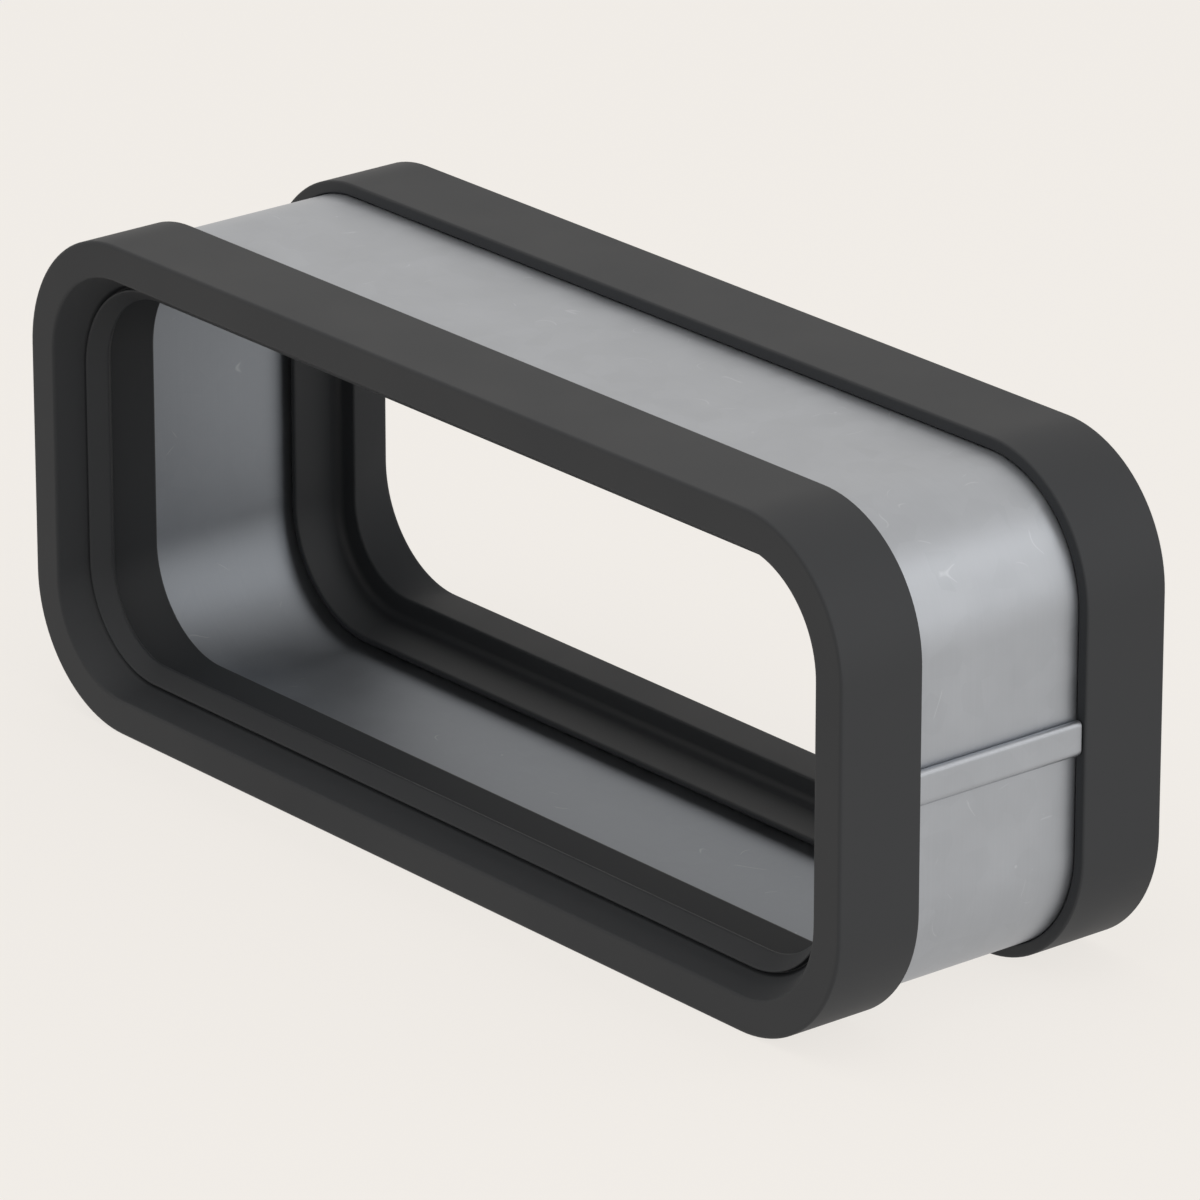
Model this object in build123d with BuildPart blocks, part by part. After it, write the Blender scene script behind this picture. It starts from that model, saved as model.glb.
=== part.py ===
# Straight connector for rectangular flat ducting: a galvanised steel sleeve
# with a lock seam on one short side, and a moulded rubber seal on each end.
#
# X runs along the wide side, Y along the air's way, Z up.
# The origin is the middle of the connector, on the axis of the airway.
# All sizes are in millimetres.

import os

from build123d import *

# Sleeve
sleeve_width = 222.0  # over the sheet
sleeve_height = 90.0
sleeve_corner_radius = 23.0  # over the sheet
sheet_thickness = 0.55

# Lock seam, in the middle of the sleeve's short side at +X
seam_width = 6.0  # over the folds
layer_gap = 0.06  # between the folded layers
seam_end_gap = 0.3  # from the seam's end to the seal's collar

# Connector
connector_length = 73.0  # over both seals

# Both seals. An inset is taken from the seal's outer surface and a depth from
# its end face. A corner easing is how much rounder the corners of a lip or a
# flap are than those of a wall that runs parallel to the outer surface.
collar_thickness = 2.35
collar_depth = 18.0
collar_edge_chamfer = 0.3
fit_clearance = 0.15  # between the rubber and the sheet
slot_floor_depth = 3.0
rim_width = 6.7
rim_edge_radius = 0.5

# Front seal: its lip points inwards from a groove behind the rim, and its flap
# leans into the airway
groove_inset = 9.2
groove_depth = 7.0
nose_inset = 9.5
nose_depth = 5.3
nose_corner_easing = 3.4
front_lip_inset = 12.2
front_lip_depth = 8.7
front_lip_corner_easing = 2.4
front_lip_undercut = 1.0  # how much the opening widens behind the lip's edge
front_lip_land = 1.1  # from the lip's edge to the web's inner side
front_flap_root_inset = 6.9
front_flap_tip_inset = 9.4
front_flap_depth = 21.1
front_flap_corner_easing = 2.9
front_flap_thickness = 1.4

# Rear seal: its lip stands out to the end face, and its flap runs nearly
# parallel to the sheet
rear_web_front_depth = 5.4
rear_web_thickness = 1.6
rear_lip_inset = 12.2
rear_lip_corner_easing = 7.7
rear_lip_root_inset = 11.1
rear_lip_root_corner_easing = 1.4
rear_lip_thickness = 1.4
rear_flap_root_inset = 6.4
rear_flap_tip_inset = 5.9
rear_flap_depth = 17.0
rear_flap_corner_easing = 1.4
rear_flap_thickness = 1.2

# Sizes that follow from those above
sleeve_length = connector_length - 2 * (slot_floor_depth + fit_clearance)
layer_pitch = sheet_thickness + layer_gap
seam_length = connector_length - 2 * (collar_depth + seam_end_gap)
fold_reach = layer_pitch + sheet_thickness / 2  # from a fold's centre to its outside
seal_growth = collar_thickness + fit_clearance
seal_width = sleeve_width + 2 * seal_growth
seal_height = sleeve_height + 2 * seal_growth
seal_corner_radius = sleeve_corner_radius + seal_growth
slot_width = sheet_thickness + 2 * fit_clearance
slot_inner_inset = collar_thickness + slot_width
front_web_depth = front_lip_depth + front_lip_land  # to the web's inner side
rear_web_depth = rear_web_front_depth + rear_web_thickness
front_end_y = -connector_length / 2
rear_end_y = connector_length / 2

os.makedirs("parts", exist_ok=True)


# Sleeve: one sheet, drawn as its centreline in the section across the airway
# and given its thickness. Between the seals its two edges have flanges, folded
# back on themselves and hooked into each other. The upper edge folds outwards
# and up. The lower edge steps out round that fold, passes over it, and folds
# back down inside it, so the seam stands out by three layers of sheet. Inside
# the seals the flanges are notched away.
wall_x = sleeve_width / 2 - sheet_thickness / 2
wall_z = sleeve_height / 2 - sheet_thickness / 2
bend_radius = sleeve_corner_radius - sheet_thickness / 2
layer_x = [wall_x + layer * layer_pitch for layer in range(4)]
upper_fold_z = seam_width / 2 - fold_reach
lower_fold_z = -upper_fold_z
step_z = lower_fold_z - 3 * layer_pitch

with BuildPart() as sleeve:
    with BuildSketch(Plane.XZ) as wall_section:
        with BuildLine():
            FilletPolyline(
                (wall_x, lower_fold_z),
                (wall_x, wall_z),
                (-wall_x, wall_z),
                (-wall_x, -wall_z),
                (wall_x, -wall_z),
                (wall_x, step_z),
                radius=bend_radius,
            )
        trace(line_width=sheet_thickness)
    extrude(amount=sleeve_length / 2, both=True)
    with BuildSketch(Plane.XZ) as seam_section:
        with BuildLine():
            # Upper edge's flange
            CenterArc((layer_x[1], lower_fold_z), layer_pitch, 180, 180)
            Line((layer_x[2], lower_fold_z), (layer_x[2], upper_fold_z))
            # Lower edge's flange
            CenterArc((layer_x[1], step_z), layer_pitch, 90, 90)
            CenterArc((layer_x[1], lower_fold_z), 2 * layer_pitch, 270, 90)
            Line((layer_x[3], lower_fold_z), (layer_x[3], upper_fold_z))
            CenterArc((layer_x[2], upper_fold_z), layer_pitch, 0, 180)
            Line((layer_x[1], upper_fold_z), (layer_x[1], lower_fold_z))
        trace(line_width=sheet_thickness)
    extrude(amount=seam_length / 2, both=True)
sleeve.part.label = "sleeve"
export_step(sleeve.part, "parts/sleeve.step")


def section_plane(end_y, depth):
    """The plane across the airway at one depth of the seal that ends at end_y.

    It faces into the connector.
    """
    inward = 1 if end_y < 0 else -1
    return Plane(origin=(0, end_y + inward * depth, 0), x_dir=(1, 0, 0), z_dir=(0, inward, 0))


def ring(end_y, inset, depth, corner_easing=0):
    """The rounded rectangle round the airway at one inset and depth of a seal."""
    corner_radius = seal_corner_radius - inset + corner_easing
    with BuildSketch(section_plane(end_y, depth)) as outline:
        RectangleRounded(seal_width - 2 * inset, seal_height - 2 * inset, corner_radius)
    return outline.sketch


def edges_on(outline):
    """The part's edges that lie on the outline of a ring."""
    return [edges().sort_by_distance(edge @ 0.5)[0] for edge in outline.edges()]


def seal_blank(end_y, web_depth):
    """The collar with its slot for the sheet, and the web, still closed."""
    collar_inside = ring(end_y, collar_thickness, web_depth)
    with BuildPart() as blank:
        extrude(ring(end_y, 0, 0), amount=collar_depth)
        extrude(collar_inside, amount=collar_depth - web_depth, mode=Mode.SUBTRACT)
        with BuildSketch(section_plane(end_y, slot_floor_depth)):
            add(ring(end_y, collar_thickness, slot_floor_depth))
            add(ring(end_y, slot_inner_inset, slot_floor_depth), mode=Mode.SUBTRACT)
        extrude(amount=collar_depth - slot_floor_depth, mode=Mode.SUBTRACT)
        collar_ends = [ring(end_y, inset, collar_depth) for inset in (0, collar_thickness)]
        chamfer([edge for end in collar_ends for edge in edges_on(end)], collar_edge_chamfer)
    return blank.part


def add_band(end_y, thickness, start, end):
    """Adds a lip or a flap between two rings, open in the middle.

    Each ring is the inset, the depth and the corner easing of its inner side.
    """
    loft([ring(end_y, inset - thickness, *place) for inset, *place in (start, end)])
    loft([ring(end_y, *inner_side) for inner_side in (start, end)], mode=Mode.SUBTRACT)


# Front seal: the rim's inner wall slopes down to the groove at the lip's foot.
# The lip's nose slopes inwards and back to the lip's edge, and the flap starts
# on the web behind it.
outer_edge = ring(front_end_y, 0, 0)
rim_edge = ring(front_end_y, rim_width, 0)
groove = ring(front_end_y, groove_inset, groove_depth, nose_corner_easing)
nose = ring(front_end_y, nose_inset, nose_depth, nose_corner_easing)
lip_edge = ring(front_end_y, front_lip_inset, front_lip_depth, front_lip_corner_easing)
lip_back_inset = front_lip_inset - front_lip_undercut
lip_back = ring(front_end_y, lip_back_inset, front_web_depth, front_lip_corner_easing)
flap_root = (front_flap_root_inset, front_web_depth, 0)
flap_tip = (front_flap_tip_inset, front_flap_depth, front_flap_corner_easing)

with BuildPart() as front_seal:
    add(seal_blank(front_end_y, front_web_depth))
    loft([rim_edge, groove], mode=Mode.SUBTRACT)
    fillet(edges_on(outer_edge) + edges_on(rim_edge), rim_edge_radius)
    loft([nose, groove])
    loft([nose, lip_edge], mode=Mode.SUBTRACT)
    loft([lip_edge, lip_back], mode=Mode.SUBTRACT)
    add_band(front_end_y, front_flap_thickness, flap_root, flap_tip)
front_seal.part.label = "front_seal"
export_step(front_seal.part, "parts/front_seal.step")


# Rear seal: the lip stands on the web and reaches the end face inside the rim
outer_edge = ring(rear_end_y, 0, 0)
rim_edge = ring(rear_end_y, rim_width, 0)
lip_root = (rear_lip_root_inset, rear_web_depth, rear_lip_root_corner_easing)
lip_end = (rear_lip_inset, 0, rear_lip_corner_easing)
flap_root = (rear_flap_root_inset, rear_web_depth, 0)
flap_tip = (rear_flap_tip_inset, rear_flap_depth, rear_flap_corner_easing)

with BuildPart() as rear_seal:
    add(seal_blank(rear_end_y, rear_web_depth))
    extrude(rim_edge, amount=rear_web_front_depth, mode=Mode.SUBTRACT)
    fillet(edges_on(outer_edge) + edges_on(rim_edge), rim_edge_radius)
    add_band(rear_end_y, rear_lip_thickness, lip_root, lip_end)
    add_band(rear_end_y, rear_flap_thickness, flap_root, flap_tip)
rear_seal.part.label = "rear_seal"
export_step(rear_seal.part, "parts/rear_seal.step")
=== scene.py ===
# %% [markdown]
# # A connector for flat ventilation duct
#
# The object is a short rectangular tube that joins two lengths of flat duct: a
# sleeve bent from galvanised steel sheet, and a black rubber seal on each end.
# Its solids are already made to size, and this lesson gives them their looks in
# Blender. All lengths in the scene are metres, in the solids' own frame: X along
# the wide side, Y along the air's way, Z up, with the origin in the middle of
# the airway. The first cell loads the solids, which stay where they are.

# %% Load the solids
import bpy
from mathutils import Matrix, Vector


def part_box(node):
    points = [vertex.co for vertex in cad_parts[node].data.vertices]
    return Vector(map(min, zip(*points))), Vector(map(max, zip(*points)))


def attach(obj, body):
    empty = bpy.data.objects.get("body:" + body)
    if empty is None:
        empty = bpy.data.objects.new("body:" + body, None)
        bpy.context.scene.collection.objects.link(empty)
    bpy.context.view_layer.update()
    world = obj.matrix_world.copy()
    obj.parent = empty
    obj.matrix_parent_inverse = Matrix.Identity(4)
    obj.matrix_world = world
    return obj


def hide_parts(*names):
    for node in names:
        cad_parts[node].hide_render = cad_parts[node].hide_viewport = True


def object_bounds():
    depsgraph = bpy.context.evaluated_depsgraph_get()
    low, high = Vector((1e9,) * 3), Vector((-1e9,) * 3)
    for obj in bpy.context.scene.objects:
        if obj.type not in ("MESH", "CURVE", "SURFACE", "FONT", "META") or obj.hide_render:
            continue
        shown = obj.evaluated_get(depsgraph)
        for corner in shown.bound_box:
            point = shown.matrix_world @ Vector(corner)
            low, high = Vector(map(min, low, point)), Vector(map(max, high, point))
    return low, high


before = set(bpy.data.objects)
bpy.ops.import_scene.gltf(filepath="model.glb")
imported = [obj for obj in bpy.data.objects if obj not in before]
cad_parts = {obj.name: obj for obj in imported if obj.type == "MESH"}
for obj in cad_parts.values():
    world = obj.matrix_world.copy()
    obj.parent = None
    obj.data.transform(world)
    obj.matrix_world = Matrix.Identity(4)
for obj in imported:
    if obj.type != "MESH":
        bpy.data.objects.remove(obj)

cad_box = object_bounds()
print("nodes:", sorted(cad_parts))
print("box of the solids:", [tuple(round(v, 4) for v in corner) for corner in cad_box])

# %% [markdown]
# ## Tools for every piece
#
# The sizes below are written in millimetres, as on a drawing, and turned into
# metres where a mesh is made. Colours are written as the hex values that a
# picture editor shows. Blender mixes light in linear values, so one function
# turns the one into the other.

# %% Units and colours
import math

import bpy
import numpy as np
from mathutils import Vector

MM = 0.001


def linear(hex_colour):
    """The linear RGBA of an sRGB hex colour.

    A channel c from 0 to 1 becomes c / 12.92 up to 0.04045, and above that
    ((c + 0.055) / 1.055) to the power 2.4.
    """
    srgb = np.array([int(hex_colour[i:i + 2], 16) for i in (1, 3, 5)]) / 255
    low = srgb / 12.92
    high = ((srgb + 0.055) / 1.055) ** 2.4
    return (*np.where(srgb > 0.04045, high, low).tolist(), 1.0)


print("middle grey in linear light:", [round(v, 3) for v in linear("#808080")])

# %% [markdown]
# A mesh is a list of points and a list of faces. Both come from numpy here as
# whole arrays, and `foreach_set` copies them into Blender in one go. A closed
# surface has its faces outwards when the volume that they enclose comes out
# positive, so the function turns them all round when it doesn't.

# %% Mesh from arrays
def enclosed_volume(points, quads):
    """A sixth of the sum of a . (b x c) over the triangles a, b, c of the faces."""
    a, b, c, d = (points[quads[:, i]] for i in range(4))
    fans = np.cross(b, c) + np.cross(c, d)
    return float((a * fans).sum()) / 6


def piece_from_grid(name, points, quads, map_points=None, inside=None):
    """A smooth-shaded object at the origin, with its faces turned outwards.

    map_points, one pair for each point, becomes the piece's UV map, in metres.
    inside, 1 for each point on the inner side and 0 for the others, is kept with
    the mesh for the finish to read.
    """
    if enclosed_volume(points, quads) < 0:
        quads = quads[:, ::-1]
    mesh = bpy.data.meshes.new(name)
    mesh.vertices.add(len(points))
    mesh.vertices.foreach_set("co", (points * MM).astype(np.float32).ravel())
    mesh.loops.add(quads.size)
    mesh.loops.foreach_set("vertex_index", quads.astype(np.int32).ravel())
    mesh.polygons.add(len(quads))
    mesh.polygons.foreach_set("loop_start", np.arange(0, quads.size, 4, dtype=np.int32))
    mesh.update(calc_edges=True)
    if map_points is not None:
        uv = mesh.uv_layers.new(name="sheet")
        uv.data.foreach_set("uv", (map_points[quads.ravel()] * MM).astype(np.float32).ravel())
    if inside is not None:
        side = mesh.attributes.new("inside", "FLOAT", "POINT")
        side.data.foreach_set("value", inside.astype(np.float32))
    mesh.validate()
    mesh.shade_smooth()
    piece = bpy.data.objects.new(name, mesh)
    bpy.context.scene.collection.objects.link(piece)
    print(f"{name}: {len(points)} points, {len(quads)} faces, "
          f"{enclosed_volume(points, quads) / 1000:.1f} cubic centimetres")
    return piece

# %% [markdown]
# ## The seals
#
# Each seal is one rubber moulding that hugs the end of the sleeve. Cut through,
# it shows a flat collar round the outside, a slot that takes the sheet, a rim,
# a groove inside the rim, a lip that seals on the duct, and a flap that reaches
# into the sleeve. The front seal's lip points inwards and its flap leans into
# the airway. The rear seal's lip stands out to the end face, and its flap runs
# nearly parallel to the sheet. Each section is drawn as a closed outline with
# small radii, and carried round the rounded rectangle of the duct.
#
# The lips and flaps pull in at the corners of that rectangle. So each corner of
# a section has its inset from the outer surface, its depth from the end face,
# and an easing, which says how much rounder its ring's corners are than those
# of a wall that runs parallel to the outer surface.

# %% Sizes of the seals
half_length = cad_box[1].y / MM
half_width = cad_box[1].x / MM
half_height = cad_box[1].z / MM
sleeve_low, sleeve_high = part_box("sleeve")
collar_growth = half_height - sleeve_high.z / MM  # from the sheet to the seal's outside
front_flap_depth = half_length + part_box("front_seal")[1].y / MM

# Both seals: insets from the outer surface, depths from the end face
ring_radius = 25.5  # of the outer surface's corners
sheet_thickness = 0.55
fit_clearance = 0.15
collar_thickness = collar_growth - fit_clearance
slot_inner = collar_thickness + sheet_thickness + 2 * fit_clearance
slot_floor = 3.0
collar_depth = 18.0
rim_width = 6.7

# Front seal
groove_inset = 9.2
groove_depth = 7.0
nose_inset = 9.4  # of the sharp corner, before the rounding takes its top down to 5.3 mm
nose_depth = 4.9
nose_easing = 3.4
front_lip_inset = 12.2
front_lip_depth = 8.7
front_lip_easing = 2.4
front_lip_undercut = 1.0
front_web = 9.8
front_flap_root = 6.9
front_flap_tip = 9.4
front_flap_easing = 2.9
front_flap_thickness = 1.3

# Rear seal
rear_web_front = 5.4
rear_web = 7.0
rear_lip_inset = 12.2
rear_lip_easing = 7.7
rear_lip_root = 11.1
rear_lip_root_easing = 1.4
rear_lip_thickness = 1.4
rear_flap_root = 6.4
rear_flap_tip = 5.9
rear_flap_depth = 17.0
rear_flap_easing = 1.4
rear_flap_thickness = 1.2

# Radii that round the sections' own corners
rim_edge_rounding = 0.6
collar_end_rounding = 0.45
lip_rounding = 0.6
flap_edge_rounding = 0.4
flap_root_rounding = 1.6
foot_rounding = 0.5
nose_rounding = 0.25
inner_edge_rounding = 0.3
crease_rounding = 0.1
print("collar", round(collar_thickness, 2), "mm thick")
print("slot", round(slot_inner - collar_thickness, 2), "mm wide")

# %% [markdown]
# The moulding's edges are all a little round, because sharp rubber edges tear
# as the part leaves its mould. Each corner gets an arc of its own radius. Two
# more points, a short way before and after the arc, keep the shading of the
# flat faces flat.

# %% A section with rounded corners
def rounded_section(corners, radii, steps=6, guard=0.3, guard_share=0.3):
    """Rounds each corner of a closed section with an arc.

    With a and b the unit directions into and out of a corner, and t the radius
    times the tangent of half the turn, the arc runs from corner - a t to
    corner + b t. Its points are the first one swung round the arc's centre. The
    third column, the ring's corner radius, follows in proportion. The two extra
    points lie guard away from the arc, or guard_share of the straight part left.
    """
    corners = np.asarray(corners, float)
    radii = np.asarray(radii, float)[:, None]
    before, after = np.roll(corners, 1, 0), np.roll(corners, -1, 0)
    run_in = np.linalg.norm((corners - before)[:, :2], axis=1, keepdims=True)
    run_out = np.linalg.norm((after - corners)[:, :2], axis=1, keepdims=True)
    slope_in, slope_out = (corners - before) / run_in, (after - corners) / run_out
    a, b = slope_in[:, :2], slope_out[:, :2]
    turn = np.arctan2(a[:, 0] * b[:, 1] - a[:, 1] * b[:, 0], (a * b).sum(1))[:, None]
    t = radii * np.tan(np.abs(turn) / 2)
    start, end = corners - slope_in * t, corners + slope_out * t
    side = np.sign(turn) * np.stack([-a[:, 1], a[:, 0]], 1)
    centre = start[:, :2] + side * radii
    swing = turn * np.linspace(0, 1, steps)
    spoke = start[:, :2] - centre
    arc_x = centre[:, :1] + spoke[:, :1] * np.cos(swing) - spoke[:, 1:] * np.sin(swing)
    arc_y = centre[:, 1:] + spoke[:, :1] * np.sin(swing) + spoke[:, 1:] * np.cos(swing)
    arc_ring = start[:, 2:] + (end - start)[:, 2:] * np.linspace(0, 1, steps)
    arcs = np.stack([arc_x, arc_y, arc_ring], 2)
    spare_out = run_out - t - np.roll(t, -1, 0)
    spare_in = np.roll(spare_out, 1, 0)
    lead = start - slope_in * np.minimum(guard, spare_in * guard_share)
    trail = end + slope_out * np.minimum(guard, spare_out * guard_share)
    return np.concatenate([lead[:, None], arcs, trail[:, None]], 1).reshape(-1, 3)


def seal_corner(inset, depth, rounding, easing=0.0):
    """One corner of a section: its inset, its depth, its ring's radius and its own rounding."""
    return inset, depth, ring_radius - inset + easing, rounding


def band(inset, thickness, depth, easing):
    """The end of a lip or a flap: the corner on its inner side and the one on its outer side."""
    return [seal_corner(inset, depth, flap_edge_rounding, easing),
            seal_corner(inset - thickness, depth, flap_edge_rounding, easing)]


def seal_profile(inner_corners, web):
    """The closed section of a seal: its rim and collar, and the given corners inside them."""
    section = np.array([
        seal_corner(0, 0, rim_edge_rounding),
        seal_corner(rim_width, 0, rim_edge_rounding),
        *inner_corners,
        seal_corner(slot_inner, web, inner_edge_rounding),
        seal_corner(slot_inner, slot_floor, crease_rounding),
        seal_corner(collar_thickness, slot_floor, crease_rounding),
        seal_corner(collar_thickness, collar_depth, inner_edge_rounding),
        seal_corner(0, collar_depth, collar_end_rounding),
    ])
    return rounded_section(section[:, :3], section[:, 3])


front_lip_back = front_lip_inset - front_lip_undercut
front_profile = seal_profile([
    seal_corner(groove_inset, groove_depth, crease_rounding, nose_easing),
    seal_corner(nose_inset, nose_depth, nose_rounding, nose_easing),
    seal_corner(front_lip_inset, front_lip_depth, lip_rounding, front_lip_easing),
    seal_corner(front_lip_back, front_web, inner_edge_rounding, front_lip_easing),
    seal_corner(front_flap_root, front_web, flap_root_rounding),
    *band(front_flap_tip, front_flap_thickness, front_flap_depth, front_flap_easing),
    seal_corner(front_flap_root - front_flap_thickness, front_web, foot_rounding),
], front_web)
rear_lip_foot = rear_lip_root - rear_lip_thickness
rear_profile = seal_profile([
    seal_corner(rim_width, rear_web_front, foot_rounding),
    seal_corner(rear_lip_foot, rear_web_front, foot_rounding, rear_lip_root_easing),
    *band(rear_lip_inset, rear_lip_thickness, 0.0, rear_lip_easing)[::-1],
    seal_corner(rear_lip_root, rear_web, flap_edge_rounding, rear_lip_root_easing),
    seal_corner(rear_flap_root, rear_web, flap_root_rounding),
    *band(rear_flap_tip, rear_flap_thickness, rear_flap_depth, rear_flap_easing),
    seal_corner(rear_flap_root - rear_flap_thickness, rear_web, foot_rounding),
], rear_web)
print("sections:", len(front_profile), "and", len(rear_profile), "points")

# %% [markdown]
# The way round the duct is a rounded rectangle. Each station on it is a pair of
# signs, which say where the centre of its arc lies, and an angle on that arc.
# On a straight side the angle stays and the centre slides from one corner to
# the next. The same stations serve every ring of the seal, whatever its size.

# %% Carry the section round
def stations(corner_steps=26, side_steps=16):
    """Centres and angles round a rounded rectangle, anticlockwise from +X.

    A centre is a pair from -1 to 1, as a share of the way from the middle to the
    corner's centre. The straight sides are closer spaced near the corners, by
    (1 - cos(pi u)) / 2 for an even u.
    """
    signs = np.array([(1, 1), (-1, 1), (-1, -1), (1, -1)], float)
    slide = (1 - np.cos(np.pi * np.arange(1, side_steps) / side_steps)) / 2
    rows = []
    for corner, sign in enumerate(signs):
        angle = np.radians(90) * (corner + np.linspace(0, 1, corner_steps + 1))
        ahead = signs[(corner + 1) % 4]
        rows.append(np.column_stack([np.tile(sign, (len(angle), 1)), angle]))
        sliding = sign + (ahead - sign) * slide[:, None]
        rows.append(np.column_stack([sliding, np.full(len(slide), angle[-1])]))
    return np.concatenate(rows)


def closed_quads(rows, columns):
    """The faces of a grid that closes on itself both ways, as four point numbers."""
    row, column = np.meshgrid(np.arange(rows), np.arange(columns), indexing="ij")
    next_row, next_column = (row + 1) % rows, (column + 1) % columns
    corners = [row * columns + column, next_row * columns + column,
               next_row * columns + next_column, row * columns + next_column]
    return np.stack(corners, -1).reshape(-1, 4)


def seal(name, profile, towards_front):
    """One seal, from its section and the stations round the duct.

    With inset i, ring radius r and centre signs (p, q), a point's x is
    p (half_width - i - r) + r cos(angle), its z is q (half_height - i - r) +
    r sin(angle), and its y lies the section's depth inside the end face.
    """
    way = stations()
    inset, depth, ring = (profile[:, i, None] for i in range(3))
    x = way[:, 0] * (half_width - inset - ring) + ring * np.cos(way[:, 2])
    z = way[:, 1] * (half_height - inset - ring) + ring * np.sin(way[:, 2])
    y = (depth - half_length) * towards_front + 0 * x
    points = np.stack([x, y, z], -1).reshape(-1, 3)
    return piece_from_grid(name, points, closed_quads(len(profile), len(way)))


front_rubber = seal("front_seal_rubber", front_profile, 1)
rear_rubber = seal("rear_seal_rubber", rear_profile, -1)

# %% [markdown]
# ## The sleeve
#
# The sleeve is a single strip of steel sheet, bent round four corners. Its two
# edges meet in the middle of one short side, where they are folded back and
# hooked into each other: a lock seam, which holds without a weld. So the sheet
# is drawn as one line, from the end of one fold to the end of the other, and
# given its thickness afterwards. The folds are notched away inside the seals.

# %% The sheet's line
seam_width = 6.0
layer_gap = 0.06
seam_end_gap = 0.3
sleeve_corner_radius = ring_radius - collar_growth
bend_radius = sleeve_corner_radius - sheet_thickness / 2
wall_x = -sleeve_low.x / MM - sheet_thickness / 2
wall_z = sleeve_high.z / MM - sheet_thickness / 2
sleeve_half_length = sleeve_high.y / MM
seam_half_length = half_length - collar_depth - seam_end_gap
layer_pitch = sheet_thickness + layer_gap
layer_x = wall_x + layer_pitch * np.arange(4)
upper_fold_z = seam_width / 2 - layer_pitch - sheet_thickness / 2
lower_fold_z = -upper_fold_z
step_z = lower_fold_z - 3 * layer_pitch

# How many steps each stretch of the line has
bend_steps = 30
long_side_steps = 20
short_side_steps = 12
seam_side_steps = 8
flange_steps = 6
fold_steps = 14
wrap_steps = 12
offset_steps = 8


def arc(centre, radius, start, end, steps):
    """Points at even angles, in degrees, on a circle in the XZ plane."""
    angle = np.radians(np.linspace(start, end, steps + 1))[:, None]
    return np.array(centre) + radius * np.hstack([np.cos(angle), np.sin(angle)])


def straight(start, end, steps):
    """Points between two ends, without the ends, closer together near both."""
    share = (1 - np.cos(np.pi * np.arange(1, steps) / steps))[:, None] / 2
    return np.array(start) + (np.array(end) - start) * share


def bend(quarter):
    """One of the sleeve's four bends, anticlockwise: quarter 0 is at +X and +Z."""
    middle = np.radians(90 * quarter + 45)
    sign_x, sign_z = np.sign(np.cos(middle)), np.sign(np.sin(middle))
    centre = (sign_x * (wall_x - bend_radius), sign_z * (wall_z - bend_radius))
    return arc(centre, bend_radius, 90 * quarter, 90 * quarter + 90, bend_steps)


bends = [bend(quarter) for quarter in range(4)]
wall_start, wall_end = (wall_x, lower_fold_z), (wall_x, step_z)
upper_flange = np.concatenate([
    [(layer_x[2], upper_fold_z)],
    straight((layer_x[2], upper_fold_z), (layer_x[2], lower_fold_z), flange_steps),
    arc((layer_x[1], lower_fold_z), layer_pitch, 0, -180, fold_steps),
])
wall = np.concatenate([
    straight(wall_start, bends[0][0], seam_side_steps), bends[0],
    straight(bends[0][-1], bends[1][0], long_side_steps), bends[1],
    straight(bends[1][-1], bends[2][0], short_side_steps), bends[2],
    straight(bends[2][-1], bends[3][0], long_side_steps), bends[3],
    straight(bends[3][-1], wall_end, seam_side_steps), [wall_end],
])
lower_flange = np.concatenate([
    arc((layer_x[1], step_z), layer_pitch, 180, 90, offset_steps)[1:],
    arc((layer_x[1], lower_fold_z), 2 * layer_pitch, 270, 360, wrap_steps)[1:],
    straight((layer_x[3], lower_fold_z), (layer_x[3], upper_fold_z), flange_steps),
    arc((layer_x[2], upper_fold_z), layer_pitch, 0, 180, fold_steps),
    straight((layer_x[1], upper_fold_z), (layer_x[1], lower_fold_z), flange_steps),
    [(layer_x[1], lower_fold_z)],
])
sheet_line = np.concatenate([upper_flange, wall, lower_flange])
steps_along = np.linalg.norm(np.diff(sheet_line, axis=0), axis=1)
along = np.concatenate([[0], np.cumsum(steps_along)])
print("strip of sheet:", round(along[-1], 1), "mm by", round(2 * sleeve_half_length, 1), "mm")

# %% [markdown]
# A grid of the line's points and of rows along the airway gives the middle of
# the sheet. Where a flange is notched away, the grid's faces are left out. The
# sheet is then offset by half its thickness to each side, and its cut edges are
# closed with a band of faces.

# %% Give the sheet its thickness
def sheet_normals(line):
    """Unit normals of a line: its tangent, by central differences, turned a quarter."""
    tangent = np.gradient(line, axis=0)
    tangent /= np.linalg.norm(tangent, axis=1, keepdims=True)
    return np.stack([tangent[:, 1], -tangent[:, 0]], 1)


def cut_edges(quads):
    """The directed edges that belong to one face only, as pairs of point numbers."""
    ends = np.stack([quads, np.roll(quads, -1, 1)], -1).reshape(-1, 2)
    key = np.sort(ends, 1) @ np.array([quads.max() + 1, 1])
    first, count = np.unique(key, return_index=True, return_counts=True)[1:]
    return ends[first[count == 1]]


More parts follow.
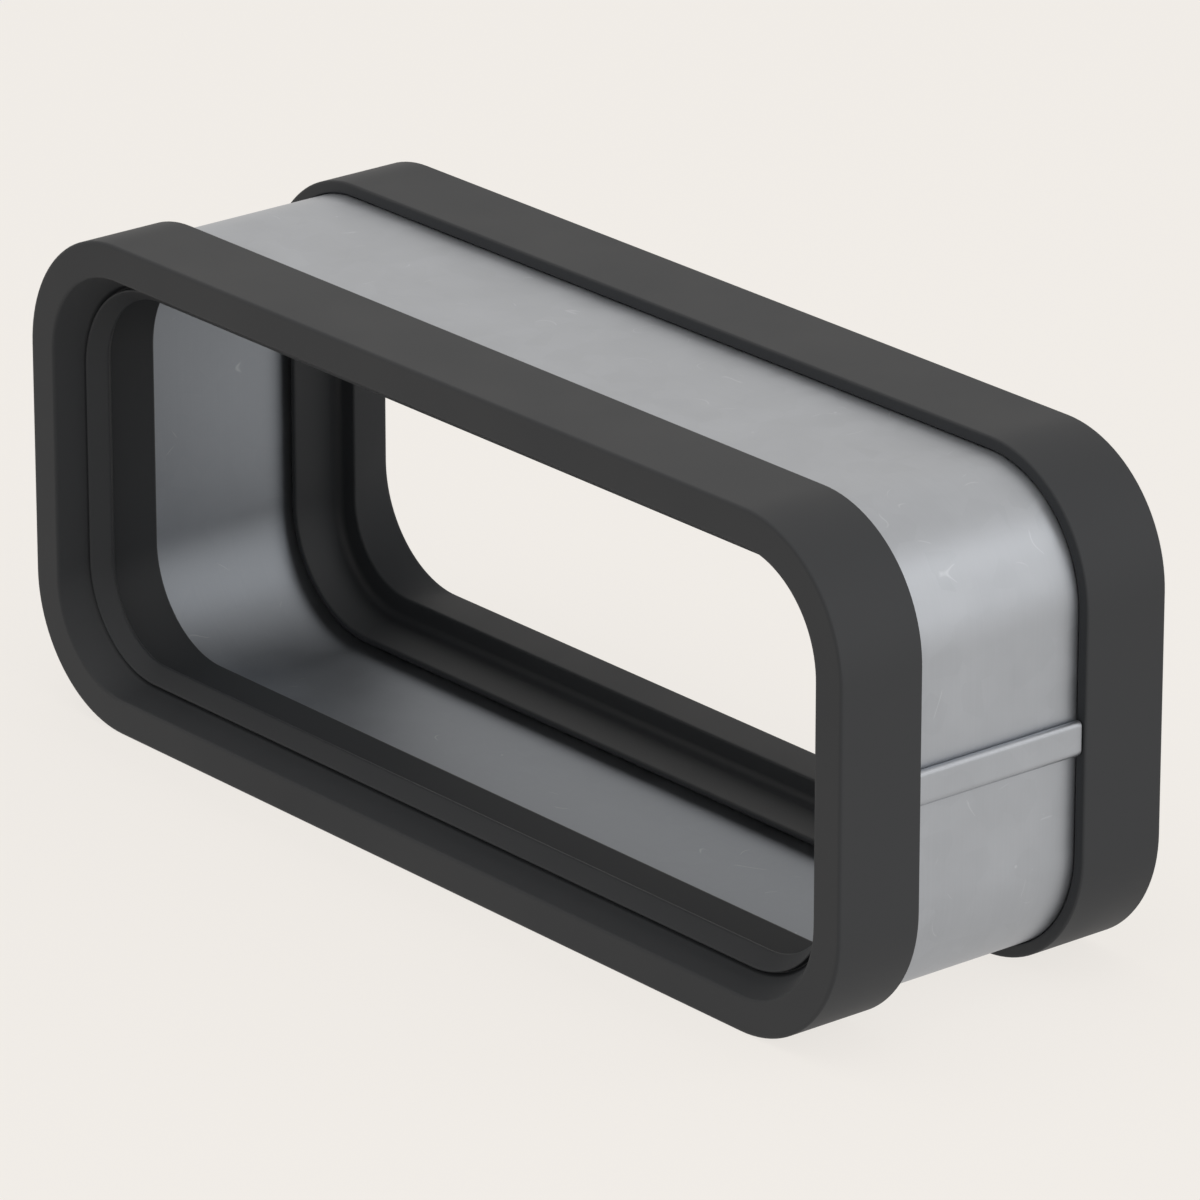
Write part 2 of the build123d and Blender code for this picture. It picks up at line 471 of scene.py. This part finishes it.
def thick_sheet(name, line, rows, kept):
    """The sheet on the grid line x rows, with faces only where kept is true.

    A point is line + normal times half the thickness on one side, and minus that
    on the other. Each cut edge gets a face from the one side to the other. The
    second half of the points is the side that faces the airway.
    """
    count = len(rows)
    column, row = np.nonzero(kept)
    base = column * count + row
    quads = np.stack([base, base + 1, base + count + 1, base + count], 1)
    half = sheet_normals(line) * sheet_thickness / 2
    sides = []
    for offset in (half, -half):
        place = np.repeat(line + offset, count, 0)
        sides.append(np.column_stack([place[:, 0], np.tile(rows, len(line)), place[:, 1]]))
    total = len(line) * count
    edge = cut_edges(quads)
    rim = np.column_stack([edge[:, 1], edge[:, 0], edge[:, 0] + total, edge[:, 1] + total])
    faces = np.concatenate([quads, quads[:, ::-1] + total, rim])
    spread = np.column_stack([np.repeat(along, count), np.tile(rows, len(line))])
    used, faces = np.unique(faces, return_inverse=True)
    faces = faces.reshape(-1, 4)
    points = np.concatenate(sides)[used]
    return piece_from_grid(name, points, faces, np.tile(spread, (2, 1))[used], used >= total)


rows_in_seal = 6
rows_in_seam = 16
y_rows = np.concatenate([
    np.linspace(-sleeve_half_length, -seam_half_length, rows_in_seal + 1)[:-1],
    np.linspace(-seam_half_length, seam_half_length, rows_in_seam + 1),
    np.linspace(seam_half_length, sleeve_half_length, rows_in_seal + 1)[1:],
])
cell = np.arange(len(sheet_line) - 1)
is_flange = (cell < len(upper_flange) - 1) | (cell >= len(upper_flange) - 1 + len(wall))
row_middle = (y_rows[1:] + y_rows[:-1]) / 2
kept_faces = ~is_flange[:, None] | (np.abs(row_middle) < seam_half_length)
steel_sleeve = thick_sheet("sleeve_steel", sheet_line, y_rows, kept_faces)
cut_edge_angle = math.radians(40)
steel_sleeve.data.set_sharp_from_angle(angle=cut_edge_angle)

# %% [markdown]
# ## Finishes
#
# A material is a small network of nodes. Patterns are read from the piece's own
# coordinates, in metres, so that a grain of 0.4 mm is 0.4 mm on every face.

# %% A node and a new material
def add_node(tree, kind, values=None, links=None, **settings):
    """One node: settings are its own, values fill its sockets, links join outputs to them."""
    node = tree.nodes.new(kind)
    for name, value in settings.items():
        setattr(node, name, value)
    for socket, value in (values or {}).items():
        node.inputs[socket].default_value = value
    for socket, output in (links or {}).items():
        tree.links.new(output, node.inputs[socket])
    return node


def new_material(name):
    """An empty material with its node tree."""
    material = bpy.data.materials.new(name)
    material.use_nodes = True
    material.node_tree.nodes.clear()
    return material, material.node_tree


def per_metre(size_mm):
    """The scale that makes a pattern's cell this many millimetres wide."""
    return 1 / (size_mm * MM)

# %% [markdown]
# A few kinds of node come back in every finish, so each has a small function
# that returns its output: a calculation, a soft noise, a change of range, a mix
# of two patterns, a scale of tones, and a colour laid over another one.

# %% Nodes that come back
def calculate(tree, operation, *terms):
    """One calculation. Each term is a number or the output of another node."""
    numbers = {i: term for i, term in enumerate(terms) if isinstance(term, float)}
    outputs = {i: term for i, term in enumerate(terms) if not isinstance(term, float)}
    return add_node(tree, "ShaderNodeMath", numbers, outputs, operation=operation).outputs[0]


def noise(tree, position, size_mm, detail=2.0, roughness=0.5):
    """Soft noise from 0 to 1, with clouds of this size."""
    return add_node(tree, "ShaderNodeTexNoise",
                    {"Scale": per_metre(size_mm), "Detail": detail, "Roughness": roughness},
                    {"Vector": position}).outputs["Fac"]


def remap(tree, value, low, high, to_low=0.0, to_high=1.0):
    """The value, with the range from low to high turned into to_low to to_high, and held there."""
    return add_node(tree, "ShaderNodeMapRange",
                    {"From Min": low, "From Max": high, "To Min": to_low, "To Max": to_high},
                    {"Value": value}).outputs["Result"]


def mix(tree, share, first, second):
    """Two patterns, with this share of the second."""
    return add_node(tree, "ShaderNodeMix", {"Factor": share},
                    {"A": first, "B": second}).outputs[0]


def tones(tree, value, low, high, dark, light):
    """The dark colour where the value is low, the light one where it is high."""
    ramp = add_node(tree, "ShaderNodeValToRGB", links={"Fac": value})
    for element, place, shade in zip(ramp.color_ramp.elements, (low, high), (dark, light)):
        element.position = place
        element.color = linear(shade)
    return ramp.outputs["Color"]


def lay_over(tree, share, under, shade, way="MIX"):
    """A colour laid over the one under it, by a share that varies over the surface.

    Sockets 6 and 7 of a colour mix are its two colours, and output 2 is the result.
    """
    return add_node(tree, "ShaderNodeMix", {7: linear(shade)}, {0: share, 6: under},
                    data_type="RGBA", blend_type=way).outputs[2]


def close_material(tree, values, colour, roughness, height, strength, depth_mm):
    """Joins colour, roughness and relief in one surface, and ends the material with it."""
    relief = add_node(tree, "ShaderNodeBump", {"Strength": strength, "Distance": depth_mm * MM},
                      {"Height": height})
    body = add_node(tree, "ShaderNodeBsdfPrincipled", values,
                    {"Base Color": colour, "Roughness": roughness,
                     "Normal": relief.outputs["Normal"]})
    add_node(tree, "ShaderNodeOutputMaterial", links={"Surface": body.outputs["BSDF"]})

# %% [markdown]
# **Galvanised steel.** The sheet was dipped in molten zinc, rolled smooth, and
# bent. The zinc leaves it a satin pale grey with a faint mottle of crystals a
# few millimetres wide, and the rolls leave a fine grain along the strip. It is
# a metal, so its colour tints the reflections, and its roughness blurs them.
# The side that faces the airway is a little rougher, and its colour is darkened as painted shade
# for the dimmer light inside the tube: the attribute
# `inside` of the mesh says where.
#
# Handling adds short hairline scratches and a few tiny specks. A hairline is
# the place where a noise passes through its middle value, and a second noise
# leaves only short pieces of it. A speck is the middle of a cell.

# %% Galvanised steel
def wear_marks(tree, position):
    """0 on clean metal and 1 on hairline scratches and specks.

    A hairline is where a noise lies less than hairline_reach from its middle. A
    speck's core and edge are shares of a cell's width.
    """
    middle, hairline_reach = 0.5, 0.005
    patch_low, patch_high = 0.66, 0.74
    speck_core, speck_edge = 0.02, 0.045
    wave = noise(tree, position, 13, detail=1.0)
    off_middle = calculate(tree, "ABSOLUTE", calculate(tree, "SUBTRACT", wave, middle))
    hairline = remap(tree, off_middle, 0.0, hairline_reach, 1.0, 0.0)
    patch = remap(tree, noise(tree, position, 5, detail=0.0), patch_low, patch_high)
    cells = add_node(tree, "ShaderNodeTexVoronoi", {"Scale": per_metre(9)}, {"Vector": position})
    speck = remap(tree, cells.outputs["Distance"], speck_core, speck_edge, 1.0, 0.0)
    return calculate(tree, "MAXIMUM", calculate(tree, "MULTIPLY", hairline, patch), speck)


def galvanised_steel():
    """Rolled zinc on steel: satin, faintly mottled, with a fine grain along the strip."""
    crystal_share, grain_share, marks_share = 0.2, 0.25, 0.28
    rougher_inside_by = 0.09
    material, tree = new_material("galvanised_steel")
    place = add_node(tree, "ShaderNodeTexCoord")
    position = place.outputs["Object"]
    inside = add_node(tree, "ShaderNodeAttribute", attribute_name="inside").outputs["Fac"]
    crystal = add_node(tree, "ShaderNodeTexVoronoi", {"Scale": per_metre(5)}, {"Vector": position})
    crystal_grey = add_node(tree, "ShaderNodeSeparateColor",
                            links={"Color": crystal.outputs["Color"]})
    # Along the strip the grain is long, across it one line is 0.35 mm, coarser than the real one
    strip = add_node(tree, "ShaderNodeMapping", {"Scale": (per_metre(45), per_metre(0.35), 1)},
                     {"Vector": place.outputs["UV"]})
    grain = add_node(tree, "ShaderNodeTexNoise", {"Scale": 1.0, "Detail": 4.0},
                     {"Vector": strip.outputs["Vector"]})
    cloud = noise(tree, position, 14, detail=3.0, roughness=0.55)
    mottle = mix(tree, crystal_share, cloud, crystal_grey.outputs[0])
    tone = mix(tree, grain_share, mottle, grain.outputs["Fac"])
    zinc = tones(tree, tone, 0.25, 0.75, "#A4A8AE", "#AFB3B9")
    # painted shade: the colour of the side that faces the airway is multiplied darker, for the
    # dimmer light inside the tube
    zinc_painted_shade_inside = lay_over(tree, inside, zinc, "#DCDEE0", way="MULTIPLY")
    marks = calculate(tree, "MULTIPLY", wear_marks(tree, position), marks_share)
    # real scratches and specks, laid over the zinc colour that carries the painted shade of the
    # inner side
    worn_with_painted_shade = lay_over(tree, marks, zinc_painted_shade_inside, "#D6DADE")
    rough = remap(tree, tone, 0.2, 0.8, 0.41, 0.5)
    rough_by_side = calculate(tree, "MULTIPLY_ADD", inside, rougher_inside_by, rough)
    close_material(tree, {"Metallic": 1.0}, worn_with_painted_shade, rough_by_side, tone, strength=0.12, depth_mm=0.02)
    return material


steel = galvanised_steel()
print("finish:", steel.name, "with", len(steel.node_tree.nodes), "nodes")

# %% [markdown]
# **EPDM rubber.** The seals are moulded from black rubber. Its face takes the
# dull, even finish of the mould, so it scatters light softly and has only a
# broad weak gloss, a little uneven where it has been handled.

# %% Black rubber
def seal_rubber():
    """Moulded EPDM: near black, dull, with a fine grain and a faintly uneven gloss."""
    material, tree = new_material("seal_rubber")
    position = add_node(tree, "ShaderNodeTexCoord").outputs["Object"]
    cloud = noise(tree, position, 22, detail=3.0)
    grain = noise(tree, position, 0.4)
    black = tones(tree, cloud, 0.3, 0.7, "#202327", "#24272B")
    rough = remap(tree, cloud, 0.3, 0.7, 0.6, 0.66)
    close_material(tree, {"Metallic": 0.0, "IOR": 1.5}, black, rough, grain,
                   strength=0.15, depth_mm=0.03)
    return material


rubber = seal_rubber()
print("finish:", rubber.name, "with", len(rubber.node_tree.nodes), "nodes")

# %% [markdown]
# Each piece now gets its finish, and takes the place of the plain solid whose
# form it shows in full.

# %% Put the pieces in the solids' places
for piece, node, finish, slot_name in (
        (front_rubber, "front_seal", rubber, "seal_rubber"),
        (rear_rubber, "rear_seal", rubber, "seal_rubber"),
        (steel_sleeve, "sleeve", steel, "galvanised_steel")):
    piece.data.materials.append(finish)
    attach(piece, "root")
    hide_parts(node)
    print(piece.name, "stands for", node)

# %% [markdown]
# ## The studio
#
# The connector stands on a wide pale floor. So that the floor stays as pale as
# the backdrop of a product picture without more light on the object, part of
# what the camera sees of it is its own colour, and the rest is lit, which keeps
# the object's shadow.

# %% Floor and surroundings
backdrop_colour = linear("#F5F1EC")
own_colour_share = 0.85


def seen_directly(tree):
    """1 for camera, glossy and transmission rays, and 0 for light that scatters."""
    path = add_node(tree, "ShaderNodeLightPath").outputs
    some = calculate(tree, "MAXIMUM", path["Is Camera Ray"], path["Is Glossy Ray"])
    return calculate(tree, "MAXIMUM", some, path["Is Transmission Ray"])


def floor_finish():
    """Matt pale paper, part of it shown in its own colour."""
    material, tree = new_material("pale_paper")
    paper = add_node(tree, "ShaderNodeBsdfDiffuse", {"Color": backdrop_colour})
    own = add_node(tree, "ShaderNodeEmission", {"Color": backdrop_colour, "Strength": 1.0})
    share = calculate(tree, "MULTIPLY", seen_directly(tree), own_colour_share)
    both = add_node(tree, "ShaderNodeMixShader",
                    links={0: share, 1: paper.outputs[0], 2: own.outputs[0]})
    add_node(tree, "ShaderNodeOutputMaterial", links={"Surface": both.outputs[0]})
    return material


floor_z = cad_box[0].z
floor_reach = 6.0
floor_corners = [(x * floor_reach, y * floor_reach, floor_z)
                 for x, y in ((-1, -1), (1, -1), (1, 1), (-1, 1))]
floor_mesh = bpy.data.meshes.new("floor")
floor_mesh.from_pydata(floor_corners, [], [(0, 1, 2, 3)])
floor = bpy.data.objects.new("floor", floor_mesh)
bpy.context.scene.collection.objects.link(floor)
floor_mesh.materials.append(floor_finish())

sky_light = 0.62
world = bpy.data.worlds.new("pale_room")
bpy.context.scene.world = world
world.use_nodes = True
sky = world.node_tree
sky.nodes.clear()
lit = add_node(sky, "ShaderNodeBackground", {"Color": backdrop_colour, "Strength": sky_light})
shown = add_node(sky, "ShaderNodeBackground", {"Color": backdrop_colour, "Strength": 1.0})
room = add_node(sky, "ShaderNodeMixShader",
                links={0: seen_directly(sky), 1: lit.outputs[0], 2: shown.outputs[0]})
add_node(sky, "ShaderNodeOutputWorld", links={"Surface": room.outputs[0]})
print("floor at", round(floor_z / MM, 1), "mm")

# %% [markdown]
# Softboxes, as a photographer would set them: a wide one overhead, a smaller
# one high behind the right end, whose reflection runs along the bends as a soft
# bright band, and a wide low one at the right, which fills that side.

# %% Softboxes
def towards(azimuth, elevation):
    """The unit direction at an azimuth from -Y towards +X and an elevation, in degrees."""
    turn, rise = math.radians(azimuth), math.radians(elevation)
    level = math.cos(rise)
    return np.array([math.sin(turn) * level, -math.cos(turn) * level, math.sin(rise)])


def look_along(direction):
    """The rotation that points an object's -Z along a direction, with its Y up."""
    return Vector(direction).to_track_quat("-Z", "Y").to_euler()


def softbox(name, azimuth, elevation, distance, size, watts):
    """A rectangular area light that faces the origin, with its place and size in metres."""
    lamp = bpy.data.lights.new(name, "AREA")
    lamp.shape = "RECTANGLE"
    lamp.size, lamp.size_y = size
    lamp.energy = watts
    holder = bpy.data.objects.new(name, lamp)
    bpy.context.scene.collection.objects.link(holder)
    way = towards(azimuth, elevation)
    holder.location = way * distance
    holder.rotation_euler = look_along(-way)
    print(name, "at", [round(float(v), 2) for v in holder.location])


softbox("overhead_softbox", azimuth=0, elevation=80, distance=1.6, size=(1.6, 1.2), watts=4.5)
softbox("rear_right_softbox", azimuth=138, elevation=33, distance=1.3, size=(0.5, 0.4), watts=0.9)
softbox("right_fill_softbox", azimuth=96, elevation=12, distance=1.6, size=(1.2, 0.6), watts=5.3)

# %% [markdown]
# ## The camera
#
# A long lens from well back keeps the duct's edges nearly parallel. The camera
# stands to the right of the front mouth and a little above it.

# %% Camera
view_azimuth = 50.564
view_elevation = 20.943
view_distance = 1.5869
aim = np.array([9.31, -2.45, -0.45]) * MM
camera_data = bpy.data.cameras.new("camera")
camera_data.sensor_width = 36.0  # mm, as the lens below
camera_data.lens = 269.49
camera_data.clip_end = 50.0
camera = bpy.data.objects.new("camera", camera_data)
bpy.context.scene.collection.objects.link(camera)
to_camera = towards(view_azimuth, view_elevation)
camera.location = aim + to_camera * view_distance
camera.rotation_euler = look_along(-to_camera)
bpy.context.scene.camera = camera
bpy.context.scene.view_settings.view_transform = "Standard"
print("camera:", [round(float(v), 3) for v in camera.location])
